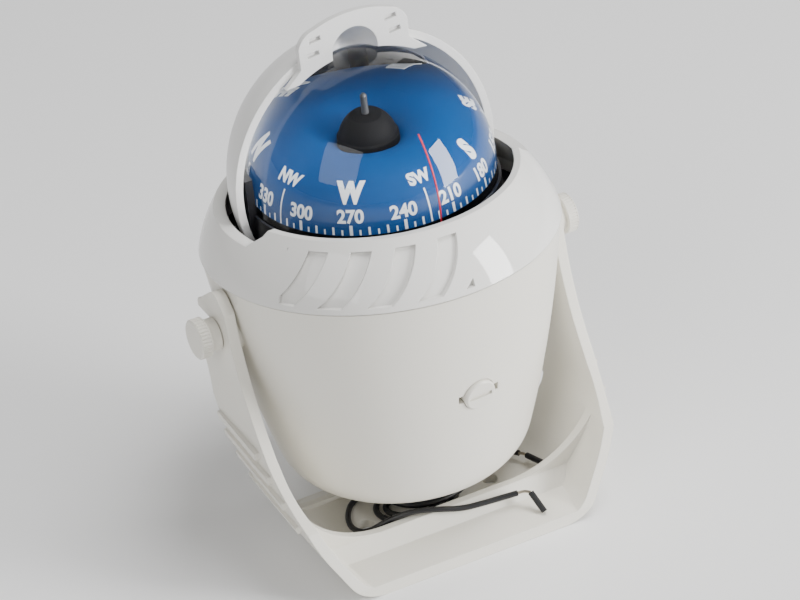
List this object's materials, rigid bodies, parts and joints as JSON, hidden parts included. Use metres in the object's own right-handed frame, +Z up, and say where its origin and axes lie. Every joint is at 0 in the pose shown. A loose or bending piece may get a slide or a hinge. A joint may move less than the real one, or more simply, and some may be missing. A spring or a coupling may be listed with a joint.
{
  "type": "ship compass",
  "caption": "Bracket-mounted marine compass: a liquid-capsule dial under a clear dome in a tilting bowl with a swinging sun hood and a night-light holder.",
  "frame": {"origin": "centre of the bracket's flat underside", "axes": "+X along the tilt axis, -Y towards the reader, +Z up"},
  "size_m": [0.128, 0.1085, 0.1622],
  "materials": {
    "bracket_plastic": "satin moulded, a little warm in the light",
    "bowl_plastic": "satin moulded",
    "collar_plastic": "glossy moulded",
    "hood_plastic": "satin moulded",
    "knob_plastic": "satin moulded, finely fluted",
    "holder_plastic": "satin moulded",
    "dome_clear": "clear polished acrylic",
    "bezel_black": "black semi-gloss",
    "capsule_black": "black satin",
    "seal_rubber": "matte black",
    "steel": "stainless, machined",
    "brass": "machined",
    "lubber_red": "red enamel",
    "card_blue": "blue with white marks",
    "hub_black": "black",
    "jewel": "polished",
    "magnet": "dark",
    "lamp_red": "clear red",
    "lead_black": "flexible insulation, satin",
    "tinned_copper": "fine strands"
  },
  "bodies": {
    "bracket": {"bracket": "bracket_plastic", "lead_left_drop": "lead_black", "lead_left_coil": "lead_black", "lead_left_run": "lead_black", "lead_left_strands": "tinned_copper", "lead_left_sleeve": "lead_black", "lead_right_drop": "lead_black", "lead_right_coil": "lead_black", "lead_right_run": "lead_black", "lead_right_strands": "tinned_copper", "lead_right_sleeve": "lead_black"},
    "bowl": {"bowl_shell": "bowl_plastic", "collar": "collar_plastic", "carrier_ring": "capsule_black", "capsule_basin": "capsule_black", "dome_gasket": "seal_rubber", "dome": "dome_clear", "bezel_ring": "bezel_black", "capsule_screws": "steel", "diaphragm": "seal_rubber", "clamp_ring": "steel", "clamp_screws": "steel", "fill_plug": "brass", "post_bridge": "capsule_black", "pivot_post": "brass", "pivot_needle": "steel", "lubber_line": "lubber_red", "pivot_insert_left": "brass", "pivot_insert_right": "brass", "pivot_washer_left": "seal_rubber", "pivot_washer_right": "seal_rubber", "lamp_socket": "capsule_black", "lamp_contacts": "brass", "lead_grommet": "seal_rubber", "lead_stubs": "lead_black"},
    "card": {"card": "card_blue", "hub_float": "hub_black", "hub_pin": "steel", "jewel_cup": "jewel", "magnet_carrier": "brass", "card_magnets": "magnet"},
    "hood": {"hood": "hood_plastic"},
    "knob_left": {"knob_left": "knob_plastic", "knob_stud_left": "steel"},
    "knob_right": {"knob_right": "knob_plastic", "knob_stud_right": "steel"},
    "lamp_holder": {"lamp_holder": "holder_plastic", "lamp": "lamp_red", "holder_seal": "seal_rubber"}
  },
  "joints": [
    {"name": "bowl_tilt", "type": "hinge", "parent": "bracket", "child": "bowl", "pos_m": [0, 0.0214, 0.0765], "axis": [1, 0, 0], "range_deg": [-50, 50]},
    {"name": "card_turn", "type": "hinge", "parent": "bowl", "child": "card", "pos_m": [0, 0.02537, 0.11796], "axis": [0, 0.0953, 0.9954], "continuous": true},
    {"name": "hood_swing", "type": "hinge", "parent": "bowl", "child": "hood", "pos_m": [0, 0.02478, 0.11184], "axis": [1, 0, 0], "range_deg": [0, 75]},
    {"name": "knob_left_turn", "type": "hinge", "parent": "bowl", "child": "knob_left", "pos_m": [-0.058, 0.0214, 0.0765], "axis": [1, 0, 0], "range_deg": [-180, 180]},
    {"name": "knob_right_turn", "type": "hinge", "parent": "bowl", "child": "knob_right", "pos_m": [0.058, 0.0214, 0.0765], "axis": [1, 0, 0], "range_deg": [-180, 180]},
    {"name": "lamp_holder_turn", "type": "hinge", "parent": "bowl", "child": "lamp_holder", "pos_m": [0.00389, -0.02768, 0.0598], "axis": [0.0791, -0.983, -0.1659], "range_deg": [0, 90]}
  ]
}
